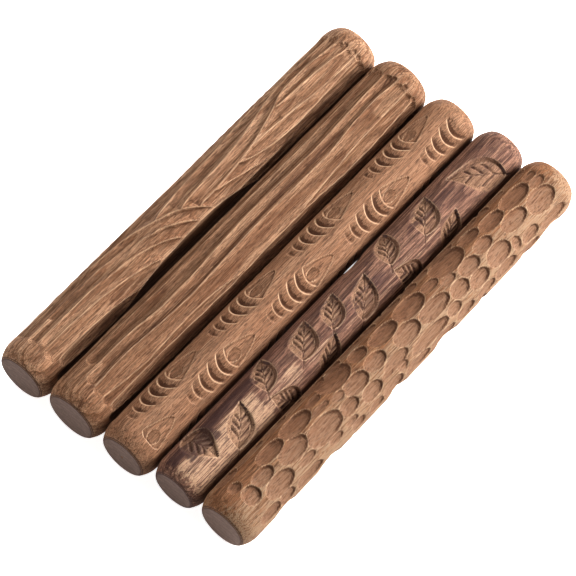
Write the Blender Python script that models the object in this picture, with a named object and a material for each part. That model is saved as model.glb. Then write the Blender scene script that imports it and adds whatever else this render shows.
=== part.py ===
"""Five carved wooden texture rollers lying side by side, ready to be rolled over clay.

Each roller is one solid turned stick: a round bar with softly rounded shoulders and flat ends,
whose side is carved with its own pattern.  X runs across the set, Y along the sticks, +Z is up,
and the origin is on the table under the middle of the set.  Patterns are laid out by the place
along the stick in millimetres and the angle round it in degrees, where 0 faces +X and 90 faces
up.
"""
import math

import bmesh
import bpy
import numpy as np

MM = 0.001
LENGTH = 0.200
GAP = 0.0003
SHOULDER_LENGTH = 0.007
SHOULDER_DROP = 0.0024
SHOULDER_STEPS = 4
MERGE_DISTANCE = 1e-6
CARVED_END = 92.5
HALF_TURN = 180.0
FULL_TURN = 360.0

FLUTE_DEPTH = 1.3
FLUTE_DEPTH_PER_WIDTH = 0.2
FLUTE_END_RUN = 4.0
RIDGE_SMOOTHING = (-3.0, -1.5, 0.0, 1.5, 3.0)

RIPPLE_ROWS = 6
RIPPLE_FIRST_ANGLE = 54.0
RIPPLE_PERIOD = 46.5
RIPPLE_CLUSTER_AT = (-47.0, -67.5)
RIPPLE_PITCH = 4.8
RIPPLE_HALF_WIDTHS = (5.2, 5.5, 5.0, 4.3, 3.2)
RIPPLE_BOW_RADIUS = 4.8
RIPPLE_DEPTH = 1.2
TEAR_LENGTH = 16.0

LEAF_DEPTH = 1.1
LEAF_MIDRIB_SHARE = 0.5
LEAF_PERIOD = 73.2
LEAF_SHAPE = 0.8
DIMPLE_DEPTH = 1.5
DIMPLE_FULL_BREADTH = 7.0
DIMPLE_SLANT = 0.3
DIMPLE_SEED = 11
NARROWEST = 1e-6
WOOD_ROUGHNESS = 0.55
SHARP_ANGLE = 40.0

# Ridge lines of the wave roller, top of the stick downwards: (place, angle) points.  A line
# that has run into the one named in WAVE_FLOOR stays on it, so its hollow closes in a point.
WAVE_RIDGES = {
    "crown": ((-93, 166), (-60, 160), (-30, 150), (0, 144), (30, 152), (60, 164), (93, 166)),
    "upper": ((-24, 92), (-18, 104), (-10, 110), (0, 116), (20, 121), (35, 131), (60, 146), (93, 146)),
    "sweep": ((-12, 78), (-5, 86), (10, 90), (22, 93), (32, 99), (42, 109), (52, 122), (70, 131), (93, 122)),
    "keel": ((-6, 50), (-2, 62), (8, 63), (20, 67), (30, 72), (40, 83), (50, 96), (58, 110), (66, 112),
             (78, 109), (93, 98)),
    "far_a": ((44, 112), (50, 94), (60, 91), (72, 88), (82, 84), (93, 74)),
    "far_b": ((24, 92), (30, 73), (42, 71), (56, 65), (66, 60), (80, 56), (93, 56)),
    "far_c": ((17, 84), (22, 68), (26, 60), (33, 52), (42, 45), (52, 41), (64, 43), (80, 49), (93, 48)),
    "far_d": ((2, 78), (6, 62), (15, 54), (23, 45), (30, 36), (40, 26), (52, 18), (70, 14), (93, 16)),
    "near_c": ((-93, 150), (-60, 141), (-45, 133), (-32, 122), (-20, 101), (-12, 89), (-5, 70), (1, 46),
               (4, 30)),
    "near_b": ((-93, 119), (-80, 122), (-66, 122), (-50, 112), (-40, 104), (-30, 94), (-20, 81), (-12, 62),
               (-6, 42), (-3, 26)),
    "near_a": ((-93, 91), (-75, 93), (-60, 92), (-50, 88), (-40, 82), (-30, 72), (-22, 59), (-16, 42),
               (-13, 28)),
    "near_d": ((-93, 74), (-75, 73), (-60, 70), (-48, 62), (-38, 54), (-30, 43), (-25, 28)),
    "near_e": ((-93, 43), (-78, 44), (-66, 42), (-56, 38), (-48, 32), (-40, 24), (-36, 14)),
    "hollow": ((-93, 24), (-80, 19), (-62, 13), (-52, 15), (-43, 27), (-30, 36), (-14, 40), (0, 40),
               (8, 36), (16, 28), (24, 15), (34, -3), (50, -14), (93, -14)),
}
WAVE_FLOOR = {"upper": "near_c", "sweep": "near_c", "keel": "near_c", "near_c": "hollow",
              "near_b": "hollow", "near_a": "hollow", "near_d": "hollow", "near_e": "hollow",
              "far_d": "hollow"}
WAVE_CEILING = {"far_a": "keel", "far_b": "keel", "far_c": "keel", "far_d": "keel"}

# Ridge lines of the flute roller, in the same form.
FLUTE_RIDGES = {
    "crown": ((-93, 163), (0, 158), (93, 164)),
    "upper": ((-93, 132), (-70, 131), (-40, 124), (0, 129), (40, 125), (70, 130), (93, 139)),
    "top": ((-93, 97), (-75, 102), (-62, 100), (-48, 92), (-30, 93), (0, 101), (20, 102), (45, 98),
            (70, 104), (93, 107)),
    "middle": ((-93, 76), (-72, 80), (-50, 73), (-35, 70), (0, 77), (30, 75), (48, 74), (66, 83), (80, 85),
               (93, 78)),
    "lower": ((-93, 57), (-80, 48), (-66, 43), (-52, 46), (-40, 48), (-28, 45), (-14, 35), (0, 28), (14, 30),
              (24, 37), (40, 44), (60, 52), (93, 55)),
    "shade": ((-93, 34), (-60, 35), (-38, 32), (-20, 30), (0, 33), (20, 34), (34, 31), (50, 25), (64, 26),
              (93, 34)),
    "base": ((-93, 12), (-60, 6), (-30, 2), (0, 4), (30, 2), (60, 5), (93, 14)),
}
FLUTE_FLOOR = {"lower": "shade"}

# Leaves on one repeat of the leaf roller: (place, angle, length, half width, tilt).  The tilt
# is the direction of the tip, in degrees from the far end of the stick towards the crown.
LEAVES = (
    (-66.0, 66, 19.0, 6.2, 45), (-44.0, 110, 17.5, 5.4, 55), (-23.0, 96, 18.0, 6.4, 42),
    (-6.0, 95, 16.5, 5.2, 44), (-45.0, 28, 16.0, 6.5, 128), (-19.0, 30, 17.0, 6.0, 40),
)
LEAF_NOT_REPEATED = LEAVES[3]
LAST_LEAF = (78.0, 74, 26.0, 7.6, 139)
FIRST_LEAF = (-82.5, 100, 19.0, 6.8, -84)

# Scoops of the dimple roller that face up: (start, end, angle, half angle), row by row.
DIMPLES = (
    (-92, -86, 104, 11), (-76, -62, 104, 16), (-62, -46, 105, 19), (-46, -38, 112, 8), (-38, -21, 116, 26),
    (-20, -11, 113, 15), (-10, 5, 104, 17), (5, 21, 104, 21), (21, 30, 103, 11), (29, 47, 113, 25),
    (47, 58, 116, 14), (57, 70, 104, 16), (70, 86, 105, 18), (86, 93, 112, 9),
    (-91, -83, 72, 18), (-84, -73, 81, 14), (-70, -55, 75, 19), (-49, -38, 90, 6), (-38, -31, 82, 8),
    (-32, -19, 75, 17), (-19, -8, 78, 15), (-3, 11, 71, 18), (11, 28, 67, 16), (28, 36, 84, 9),
    (37, 48, 74, 15), (48, 58, 83, 13), (63, 77, 73, 16), (85, 93, 92, 10),
    (-83, -68, 48, 19), (-65, -56, 44, 9), (-57, -38, 59, 22), (-39, -29, 55, 14), (-28, -17, 43, 15),
    (-14, 0, 51, 12), (-9, -3, 33, 10), (-16, -10, 44, 7), (0, 22, 34, 15), (22, 30, 37, 12),
    (28, 38, 57, 16), (37, 48, 43, 16),
    (49, 62, 49, 20), (62, 67, 38, 14), (67, 77, 29, 14), (77, 92, 63, 22),
    (-91, -79, 17, 15), (-80, -71, 17, 13), (-70, -55, 13, 15), (-50, -42, 29, 9), (-40, -33, 30, 8),
    (-38, -30, 12, 12), (-28, -19, 11, 12), (-19, -7, 14, 15), (-6, 9, 9, 13), (9, 24, 8, 12),
    (25, 36, 12, 13), (38, 49, 12, 13), (49, 62, 14, 15), (64, 76, 2, 12), (78, 93, 18, 15),
    (-83, -71, -20, 21), (-58, -44, -20, 24), (-38, -35, -18, 12), (-17, -5, -20, 22), (11, 26, -20, 23),
    (39, 44, -19, 20), (63, 72, -20, 14), (76, 91, -20, 22),
)
UNDERSIDE_ROWS = (145, 176, 207, 238, 269, 300)
UNDERSIDE_START = -92.0
UNDERSIDE_LAST_START = 86.0
UNDERSIDE_JITTER = 4.0
DIMPLE_LENGTHS = (6.0, 16.0)
DIMPLE_HALF_ANGLES = (10.0, 20.0)
DIMPLE_LAND = 1.5


def line_angle(points, place):
    """Angle of a ridge line at each place, with the corners between its points eased."""
    places, angles = zip(*points)
    eased = [np.interp(place + step, places, angles) for step in RIDGE_SMOOTHING]
    return sum(eased) / len(eased)


def ridge_angles(ridges, floors, ceilings, place):
    """Every ridge line's angle at each place, kept between the lines it runs into."""
    angles = {name: line_angle(points, place) for name, points in ridges.items()}
    for name in reversed(list(ridges)):
        if name in floors:
            angles[name] = np.maximum(angles[name], angles[floors[name]])
    for name, ceiling in ceilings.items():
        angles[name] = np.minimum(angles[name], angles[ceiling])
    return list(angles.values())


def hollows_between(ridges, place, angle, radius):
    """Depth of the rounded hollows between neighbouring ridges, repeated every half turn."""
    depth = np.zeros_like(place)
    for upper, lower in zip(ridges, ridges[1:] + [ridges[0] - HALF_TURN]):
        width = np.maximum(upper - lower, NARROWEST)
        share = ((angle - lower) % HALF_TURN) / width
        breadth = radius * np.radians(width)
        full = np.minimum(FLUTE_DEPTH, FLUTE_DEPTH_PER_WIDTH * breadth)
        hollow = np.where(share < 1.0, 4.0 * share * (1.0 - share) * full, 0.0)
        depth = np.maximum(depth, hollow)
    into_end = np.clip((np.abs(place) - CARVED_END + FLUTE_END_RUN) / FLUTE_END_RUN, 0.0, 1.0)
    return depth * np.sqrt(1.0 - into_end ** 2)


def carve_waves(place, angle, radius):
    ridges = ridge_angles(WAVE_RIDGES, WAVE_FLOOR, WAVE_CEILING, place)
    return hollows_between(ridges, place, angle, radius)


def carve_flutes(place, angle, radius):
    ridges = ridge_angles(FLUTE_RIDGES, FLUTE_FLOOR, {}, place)
    return hollows_between(ridges, place, angle, radius)


def turn_to(angle, centre):
    """Signed angle from a centre line, between minus and plus half a turn."""
    return (angle - centre + HALF_TURN) % FULL_TURN - HALF_TURN


def carve_ripples(place, angle, radius):
    """Rows of crescent steps that grow towards a tear-shaped thumb mark."""
    depth = np.zeros_like(place)
    for row in range(RIPPLE_ROWS):
        centre = RIPPLE_FIRST_ANGLE + row * FULL_TURN / RIPPLE_ROWS
        across = radius * np.radians(turn_to(angle, centre))
        bow = across ** 2 / (2.0 * RIPPLE_BOW_RADIUS)
        since = place - bow - RIPPLE_CLUSTER_AT[row % 2]
        along = (since + RIPPLE_PERIOD / 2) % RIPPLE_PERIOD - RIPPLE_PERIOD / 2
        for step, half_width in enumerate(RIPPLE_HALF_WIDTHS):
            past = along + step * RIPPLE_PITCH
            run = RIPPLE_PITCH if step else TEAR_LENGTH
            half = half_width * (1.0 - past / run) if step == 0 else half_width
            edge = np.clip(1.0 - (across / np.maximum(half, NARROWEST)) ** 2, 0.0, 1.0)
            ramp = RIPPLE_DEPTH * (1.0 - past / run) * np.sqrt(edge)
            depth = np.maximum(depth, np.where((past >= 0) & (past < run), ramp, 0.0))
    return np.where(np.abs(place) < CARVED_END, depth, 0.0)


def leaf_places():
    """Every leaf: the repeat along the stick and again half a turn round it."""
    leaves = [FIRST_LEAF, LAST_LEAF] + list(LEAVES)
    leaves += [(leaf[0] + LEAF_PERIOD,) + leaf[1:] for leaf in LEAVES if leaf is not LEAF_NOT_REPEATED]
    return leaves + [(leaf[0], leaf[1] + HALF_TURN) + leaf[2:] for leaf in leaves]


def carve_leaves(place, angle, radius):
    """Sunk leaf shapes, deepest along their outline and fuller at the midrib."""
    depth = np.zeros_like(place)
    for middle, centre, length, half_width, tilt in leaf_places():
        along = place - middle
        up = radius * np.radians(turn_to(angle, centre))
        cos, sin = math.cos(math.radians(tilt)), math.sin(math.radians(tilt))
        share = (along * cos + up * sin) / length + 0.5
        side = up * cos - along * sin
        half = half_width * np.sin(math.pi * np.clip(share, 0.0, 1.0) ** LEAF_SHAPE)
        across = np.abs(side) / np.maximum(half, NARROWEST)
        relief = LEAF_DEPTH * (LEAF_MIDRIB_SHARE + (1.0 - LEAF_MIDRIB_SHARE) * across)
        depth = np.maximum(depth, np.where(across < 1.0, relief, 0.0))
    return depth


def underside_dimples():
    """Scoops of the rows that face down, drawn from one seeded sequence."""
    draw = np.random.default_rng(DIMPLE_SEED)
    scoops = []
    for row in UNDERSIDE_ROWS:
        start = UNDERSIDE_START + draw.uniform(0.0, DIMPLE_LAND)
        while start < UNDERSIDE_LAST_START:
            end = min(start + draw.uniform(*DIMPLE_LENGTHS), CARVED_END)
            half_angle = draw.uniform(*DIMPLE_HALF_ANGLES)
            middle = row + draw.uniform(-UNDERSIDE_JITTER, UNDERSIDE_JITTER)
            scoops.append((start, end, middle, half_angle))
            start = end + draw.uniform(0.0, DIMPLE_LAND)
    return scoops


def carve_dimples(place, angle, radius):
    """Oval scoops, shallow where the gouge enters and steep at the far end."""
    depth = np.zeros_like(place)
    for start, end, centre, half_angle in list(DIMPLES) + underside_dimples():
        along = (2.0 * place - start - end) / (end - start)
        across = turn_to(angle, centre) / half_angle
        bowl = np.clip(1.0 - along ** 2 - across ** 2, 0.0, 1.0)
        breadth = min(end - start, 2.0 * radius * math.radians(half_angle))
        full = DIMPLE_DEPTH * min(1.0, breadth / DIMPLE_FULL_BREADTH)
        slant = 1.0 - DIMPLE_SLANT * (1.0 - along)
        depth = np.maximum(depth, full * np.sqrt(bowl) * slant)
    return depth


def shoulder_profile(radius):
    """Radius and place of each ring on a shoulder, from the straight side to the flat end."""
    rings = []
    for step in range(SHOULDER_STEPS + 1):
        share = step / SHOULDER_STEPS
        place = LENGTH / 2 - SHOULDER_LENGTH * (1.0 - share)
        rings.append((radius - SHOULDER_DROP * share ** 2, place))
    return rings


def turned_bar(radius, columns, rows):
    """A closed bar along Y: its side profile spun round, and a flat face on each end."""
    shoulder = shoulder_profile(radius)
    straight = LENGTH / 2 - SHOULDER_LENGTH
    side = [(radius, place) for place in np.linspace(-straight, straight, rows + 1)[1:-1]]
    profile = [(r, -place) for r, place in reversed(shoulder)] + side + shoulder
    bm = bmesh.new()
    verts = [bm.verts.new((r, place, 0.0)) for r, place in profile]
    edges = [bm.edges.new(pair) for pair in zip(verts, verts[1:])]
    bmesh.ops.spin(bm, geom=verts + edges, cent=(0, 0, 0), axis=(0, -1, 0), angle=2 * math.pi,
                   steps=columns, use_merge=True)
    bmesh.ops.remove_doubles(bm, verts=bm.verts, dist=MERGE_DISTANCE)
    bmesh.ops.holes_fill(bm, edges=[edge for edge in bm.edges if edge.is_boundary], sides=0)
    bmesh.ops.recalc_face_normals(bm, faces=bm.faces)
    return bm


def carve(bm, radius, pattern):
    """Move the points of the straight side inwards by the pattern's depth."""
    straight = LENGTH / 2 - SHOULDER_LENGTH
    points = [v for v in bm.verts if abs(v.co.y) < straight - MERGE_DISTANCE]
    place = np.array([v.co.y for v in points]) / MM
    angle = np.degrees(np.array([math.atan2(v.co.z, v.co.x) for v in points]))
    depth = pattern(place, angle, radius / MM) * MM
    for vert, cut in zip(points, depth):
        share = 1.0 - float(cut) / radius
        vert.co.x *= share
        vert.co.z *= share


def walnut(name, colour):
    material = bpy.data.materials.new(name)
    material.use_nodes = True
    shader = material.node_tree.nodes["Principled BSDF"]
    shader.inputs["Base Color"].default_value = (*colour, 1.0)
    shader.inputs["Roughness"].default_value = WOOD_ROUGHNESS
    shader.inputs["Metallic"].default_value = 0.0
    return material


def make_roller(name, radius, offset, centre_x, columns, rows, pattern, colour):
    """One carved stick, with its object's origin on the stick's own axis."""
    bm = turned_bar(radius, columns, rows)
    carve(bm, radius, pattern)
    mesh = bpy.data.meshes.new(name)
    bm.to_mesh(mesh)
    bm.free()
    mesh.shade_smooth()
    mesh.set_sharp_from_angle(angle=math.radians(SHARP_ANGLE))
    mesh.materials.append(walnut(name.replace("_roller", "_walnut"), colour))
    roller = bpy.data.objects.new(name, mesh)
    roller.location = (centre_x, offset, radius)
    bpy.context.scene.collection.objects.link(roller)
    return roller


# name, radius, offset along Y, columns round, rows along, pattern, colour
ROLLERS = (
    ("wave_roller", 0.0125, -0.0009, 32, 34, carve_waves, (0.35, 0.18, 0.10)),
    ("flute_roller", 0.0132, -0.0013, 32, 22, carve_flutes, (0.34, 0.17, 0.10)),
    ("ripple_roller", 0.0121, -0.0009, 32, 62, carve_ripples, (0.40, 0.20, 0.10)),
    ("leaf_roller", 0.0113, 0.0012, 32, 42, carve_leaves, (0.27, 0.15, 0.11)),
    ("dimple_roller", 0.0122, 0.0013, 32, 42, carve_dimples, (0.40, 0.21, 0.12)),
)


def main():
    for old in list(bpy.data.objects):
        bpy.data.objects.remove(old, do_unlink=True)
    width = sum(2 * radius for _, radius, *_ in ROLLERS) + GAP * (len(ROLLERS) - 1)
    edge = -width / 2
    for name, radius, offset, columns, rows, pattern, colour in ROLLERS:
        make_roller(name, radius, offset, edge + radius, columns, rows, pattern, colour)
        edge += 2 * radius + GAP


main()
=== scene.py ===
"""Five carved walnut texture rollers for clay, lying side by side on a pale floor.

Each roller is one turned stick with its own pattern cut into its side.  Patterns are laid out by
the place along the stick in millimetres and the angle round it in degrees, where 0 faces +X and
90 faces up.
"""
import math

import bmesh
import bpy
import numpy as np
from mathutils import Matrix, Vector


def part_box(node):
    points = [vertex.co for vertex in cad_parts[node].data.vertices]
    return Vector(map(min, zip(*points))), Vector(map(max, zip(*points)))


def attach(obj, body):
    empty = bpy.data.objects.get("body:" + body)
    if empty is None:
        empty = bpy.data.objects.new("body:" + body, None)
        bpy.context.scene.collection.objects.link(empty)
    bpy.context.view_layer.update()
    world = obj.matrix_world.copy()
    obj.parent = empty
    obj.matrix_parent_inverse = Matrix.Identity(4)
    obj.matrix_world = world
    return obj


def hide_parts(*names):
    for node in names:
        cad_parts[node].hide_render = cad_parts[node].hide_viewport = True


bl_info = {
    "name": "Clay Texture Rollers",
    "version": (1, 0, 0),
    "blender": (4, 5, 0),
    "location": "3D View > Sidebar > Rollers",
    "description": "Builds five carved walnut rollers for pressing patterns into clay",
    "category": "Object",
}

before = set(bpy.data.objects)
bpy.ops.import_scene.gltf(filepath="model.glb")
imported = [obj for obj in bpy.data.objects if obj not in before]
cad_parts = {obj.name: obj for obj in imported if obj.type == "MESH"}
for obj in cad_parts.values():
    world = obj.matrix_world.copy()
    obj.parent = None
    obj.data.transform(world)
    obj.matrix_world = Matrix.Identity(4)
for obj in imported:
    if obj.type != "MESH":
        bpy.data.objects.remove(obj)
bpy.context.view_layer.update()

MM = 0.001
HALF_TURN = 180.0
FULL_TURN = 360.0
NARROWEST = 1e-6
MERGE_DISTANCE = 1e-6

# The turned stick.
SHOULDER_LENGTH = 7.0
SHOULDER_DROP = 2.4
SHOULDER_STEPS = 14
RIM_ROUNDING = 0.35
END_FACE_STEPS = 5
HALF_LENGTH = 100.0
BLANK_RADIUS = 12.0
PIT_RADIUS = 0.6
PIT_DEPTH = 0.8
CARVED_END = 92.5
HOLLOW_MASK_DEPTH = 2.0
CREST_MASK_HEIGHT = 0.25

# Hollows of the wave and flute rollers.
HOLLOW_DEPTH = 1.5
HOLLOW_DEPTH_PER_WIDTH = 0.28
HOLLOW_FULL_LEAN = 0.4
LOW_HOLLOWS = (38.0, 50.0)
LOW_LEAN = 0.25
LOW_EXTRA = 0.8
STEEPEST = 0.36
NEAR_RUN = 4.5
FAR_RUN = 3.0
RIDGE_SMOOTHING = (-2.4, -1.2, 0.0, 1.2, 2.4)
CLIMB_LEAN = 0.3
DEEPEST_BETWEEN = (0.15, 0.8)
GOUGE_LIFT = 2.4
LIFT_LIMIT = 1.5
STOP_RADIUS = 1.25
STOP_DEPTH = 0.8

# Crescent steps and thumb marks of the ripple roller.
RIPPLE_ROWS = 6
RIPPLE_FIRST_ANGLE = 54.0
RIPPLE_PERIOD = 46.5
RIPPLE_CLUSTER_AT = (-47.0, -67.5)
# Each crescent: how far before the thumb mark, its run, half width and depth.
CRESCENTS = (
    (4.7, 4.9, 5.5, 1.3), (9.5, 5.0, 5.3, 1.3), (14.5, 5.2, 4.7, 1.15), (18.7, 4.4, 3.7, 0.85),
    (22.4, 3.8, 2.8, 0.55),
)
RIPPLE_BOW_RADIUS = 4.8
RIPPLE_DROP_RUN = 0.8
RIPPLE_FALL_OFF = 1.5
RIPPLE_BACK = 24.0
TEAR_LENGTH = 15.5
TEAR_HALF_WIDTH = 5.0
TEAR_DEPTH = 0.55
TEAR_WALL = 5.0
TEAR_TAPER = 0.62
TEAR_FADE = 0.45
THUMB_CENTRE = 3.9
THUMB_HALF_LENGTH = 3.3
THUMB_HALF_WIDTH = 2.4
THUMB_DEPTH = 0.9
THUMB_FLATNESS = 0.4
THUMB_SLANT = (0.75, -0.25)

# Sunk leaves.
LEAF_DEPTH = 1.45
LEAF_NEAR_SHARE = 0.38
LEAF_PERIOD = 73.2
LEAF_SHAPE = 0.8
LEAF_TIP_PINCH = 0.22
LEAF_WALL = 5.0
VEIN_STARTS = (0.2, 0.39, 0.58)
VEIN_LEAN = 42.0
VEIN_HALF_WIDTH = 0.85
VEIN_DEPTH = 0.6
VEIN_REACH = 0.68
MIDRIB_HALF_WIDTH = 0.55
MIDRIB_DEPTH = 0.35
MIDRIB_REACH = 0.9
VEIN_GAP = 0.25
STEM_LENGTH = 3.6

# Flats where these two sticks face each other, so that a sliver of floor shows between them:
# start, end, angle, half angle and depth.
RIPPLE_FLAT = (13.5, 30.0, -20, 18, 0.7)
LEAF_FLAT = (9.5, 24.5, 160, 20, 1.3)

# Gouge scoops of the dimple roller.
DIMPLE_DEPTH = 1.6
DIMPLE_FULL_BREADTH = 7.0
DIMPLE_SLANT = 0.27
DIMPLE_POWER = 2.2
DIMPLE_SEED = 11
CHATTER_DEPTH = 0.09
CHATTER_PITCH = 1.0
CHATTER_BEND = 1.2
FAR_WALL = (0.2, 0.6)
DIMPLE_FLATNESS = 0.42

# Ridge lines of the wave roller, top of the stick downwards: (place, angle) points.  A line
# that has run into the one named in WAVE_FLOOR stays on it, so its hollow closes in a point.
WAVE_RIDGES = {
    "crown": ((-93, 166), (-60, 160), (-30, 150), (0, 144), (30, 152), (60, 164), (93, 166)),
    "upper": ((-24, 92), (-18, 104), (-10, 110), (0, 116), (20, 121), (35, 131), (60, 146), (93, 146)),
    "sweep": ((-12, 78), (-5, 86), (10, 90), (22, 93), (32, 99), (42, 109), (52, 122), (70, 131), (93, 122)),
    "keel": ((-6, 50), (-2, 62), (8, 63), (20, 67), (30, 72), (40, 83), (50, 96), (58, 110), (66, 112),
             (78, 109), (93, 98)),
    "far_a": ((44, 112), (50, 94), (60, 91), (72, 88), (82, 84), (93, 74)),
    "far_b": ((24, 92), (30, 73), (42, 71), (56, 65), (66, 60), (80, 56), (93, 56)),
    "far_c": ((17, 84), (22, 68), (26, 60), (33, 52), (42, 45), (52, 41), (64, 43), (80, 49), (93, 48)),
    "far_d": ((2, 78), (6, 62), (15, 54), (23, 45), (30, 36), (40, 26), (52, 18), (70, 14), (93, 16)),
    "near_c": ((-93, 150), (-60, 141), (-45, 133), (-32, 122), (-20, 101), (-12, 89), (-5, 70), (1, 46),
               (4, 30)),
    "near_b": ((-93, 119), (-80, 122), (-66, 122), (-50, 112), (-40, 104), (-30, 94), (-20, 81), (-12, 62),
               (-6, 42), (-3, 26)),
    "near_a": ((-93, 91), (-75, 93), (-60, 92), (-50, 88), (-40, 82), (-30, 72), (-22, 59), (-16, 42),
               (-13, 28)),
    "near_d": ((-93, 74), (-75, 73), (-60, 70), (-48, 62), (-38, 54), (-30, 43), (-25, 28)),
    "near_e": ((-93, 43), (-78, 44), (-66, 42), (-56, 38), (-48, 32), (-40, 24), (-36, 14)),
    "hollow": ((-93, 24), (-80, 19), (-62, 13), (-52, 15), (-43, 27), (-30, 36), (-14, 40), (0, 40),
               (8, 36), (16, 28), (24, 15), (34, -3), (50, -14), (93, -14)),
}
WAVE_FLOOR = {"upper": "near_c", "sweep": "near_c", "keel": "near_c", "near_c": "hollow",
              "near_b": "hollow", "near_a": "hollow", "near_d": "hollow", "near_e": "hollow",
              "far_d": "hollow"}
WAVE_CEILING = {"far_a": "keel", "far_b": "keel", "far_c": "keel", "far_d": "keel"}
# Where the hollow below a ridge starts, when that is not at the very end.
WAVE_STARTS = {"near_b": -80.0, "near_a": -90.5, "near_e": -89.5, "near_c": -86.0}
WAVE_STOPS = ((91.6, 110), (91.4, 84), (91.6, 63), (91.6, 50))

# Ridge lines of the flute roller, in the same form.
FLUTE_RIDGES = {
    "crown": ((-93, 163), (0, 158), (93, 164)),
    "upper": ((-93, 132), (-70, 131), (-40, 124), (0, 129), (40, 125), (70, 130), (93, 139)),
    "top": ((-93, 97), (-75, 102), (-62, 100), (-48, 92), (-30, 93), (0, 101), (20, 102), (45, 98),
            (70, 104), (93, 107)),
    "middle": ((-93, 76), (-72, 80), (-50, 73), (-35, 70), (0, 77), (30, 75), (48, 74), (66, 83), (80, 85),
               (93, 78)),
    "lower": ((-93, 57), (-80, 48), (-66, 43), (-52, 46), (-40, 48), (-28, 45), (-14, 35), (0, 28), (14, 30),
              (24, 37), (40, 44), (60, 52), (93, 55)),
    "shade": ((-93, 34), (-60, 35), (-38, 32), (-20, 30), (0, 33), (20, 34), (34, 31), (50, 25), (64, 26),
              (93, 34)),
    "base": ((-93, 24), (-87, 16), (-78, 12), (-60, 8), (-30, 4), (0, 4), (30, 2), (60, 5), (93, 14)),
}
FLUTE_FLOOR = {"lower": "shade"}
FLUTE_STARTS = {"top": -91.0, "shade": -91.5, "upper": -84.0}
FLUTE_STOPS = ((91.4, 131), (91.3, 86), (91.8, 62), (91.4, 35))

# Leaves on one repeat of the leaf roller: (place, angle, length, half width, tilt).  The tilt
# is the direction of the tip, in degrees from the far end of the stick towards the crown.
LEAVES = (
    (-66.0, 66, 19.0, 6.2, 45), (-44.0, 110, 17.5, 5.4, 55), (-23.0, 96, 18.0, 6.4, 42),
    (-6.0, 95, 16.5, 5.2, 44), (-45.0, 28, 16.0, 6.5, 128), (-19.0, 30, 17.0, 6.0, 40),
)
LEAF_NOT_REPEATED = LEAVES[3]
LAST_LEAF = (78.0, 74, 26.0, 7.6, 139)
FIRST_LEAF = (-82.5, 100, 19.0, 6.8, -84)

# Scoops of the dimple roller that face up: (start, end, angle, half angle), row by row.
DIMPLES = (
    (-92, -86, 104, 11), (-76, -62, 104, 16), (-62, -46, 105, 19), (-46, -38, 112, 8), (-38, -21, 116, 26),
    (-20, -11, 113, 15), (-10, 5, 104, 17), (5, 21, 104, 21), (21, 30, 103, 11), (29, 47, 113, 25),
    (47, 58, 116, 14), (57, 70, 104, 16), (70, 86, 105, 18), (86, 93, 112, 9),
    (-91, -83, 72, 18), (-84, -73, 81, 14), (-70, -55, 75, 19), (-49, -38, 90, 6), (-38, -31, 82, 8),
    (-32, -19, 75, 17), (-19, -8, 78, 15), (-3, 11, 71, 18), (11, 28, 67, 16), (28, 36, 84, 9),
    (37, 48, 74, 15), (48, 58, 83, 13), (63, 77, 73, 16), (85, 93, 92, 10),
    (-83, -68, 48, 19), (-65, -56, 44, 9), (-57, -38, 59, 22), (-39, -29, 55, 14), (-28, -17, 43, 15),
    (-14, 0, 51, 12), (-9, -3, 33, 10), (-16, -10, 44, 7), (0, 22, 34, 15), (22, 30, 37, 12),
    (28, 38, 57, 16), (37, 48, 43, 16),
    (49, 62, 49, 20), (62, 67, 38, 14), (67, 77, 29, 14), (77, 92, 63, 22),
    (-91, -79, 17, 15), (-80, -71, 17, 13), (-70, -55, 13, 15), (-50, -42, 29, 9), (-40, -33, 30, 8),
    (-38, -30, 12, 12), (-28, -19, 11, 12), (-19, -7, 14, 15), (-6, 9, 9, 13), (9, 24, 8, 12),
    (25, 36, 12, 13), (38, 49, 12, 13), (49, 62, 14, 15), (64, 76, 2, 12), (78, 93, 18, 15),
    (-83, -71, -20, 21), (-58, -44, -20, 24), (-38, -35, -18, 12), (-17, -5, -20, 22), (11, 26, -20, 23),
    (39, 44, -19, 20), (63, 72, -20, 14), (76, 91, -20, 22),
)
UNDERSIDE_ROWS = (145, 176, 207, 238, 269, 300)
UNDERSIDE_START = -92.0
UNDERSIDE_LAST_START = 86.0
UNDERSIDE_JITTER = 4.0
DIMPLE_LENGTHS = (6.0, 16.0)
DIMPLE_HALF_ANGLES = (10.0, 20.0)
DIMPLE_LAND = 1.5


def smooth_step(value, start, end):
    """0 before the start, 1 after the end, eased between them."""
    share = np.clip((value - start) / (end - start), 0.0, 1.0)
    return share * share * (3.0 - 2.0 * share)


def turn_to(angle, centre):
    """Signed angle from a centre line, between minus and plus half a turn."""
    return (angle - centre + HALF_TURN) % FULL_TURN - HALF_TURN


# ---------------------------------------------------------------- carving patterns


def line_angle(points, place):
    """Angle of a ridge line at each place, with the corners between its points eased."""
    places, angles = zip(*points)
    eased = [np.interp(place + step, places, angles) for step in RIDGE_SMOOTHING]
    return sum(eased) / len(eased)


def ridge_angles(ridges, floors, ceilings, place):
    """Every ridge line's angle at each place, kept between the lines it runs into."""
    angles = {name: line_angle(points, place) for name, points in ridges.items()}
    for name in reversed(list(ridges)):
        if name in floors:
            angles[name] = np.maximum(angles[name], angles[floors[name]])
    for name, ceiling in ceilings.items():
        angles[name] = np.minimum(angles[name], angles[ceiling])
    return angles


def gouge_stops(stops, place, angle, radius):
    """Small round pits where the gouge was stopped at the far end of a hollow."""
    depth = np.zeros_like(place)
    for at, centre in stops:
        for turn in (0.0, HALF_TURN):
            across = radius * np.radians(turn_to(angle, centre + turn))
            far = (place - at) ** 2 + across ** 2
            depth = np.maximum(depth, np.sqrt(np.clip(1.0 - far / STOP_RADIUS ** 2, 0.0, 1.0)))
    return depth * STOP_DEPTH


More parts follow.
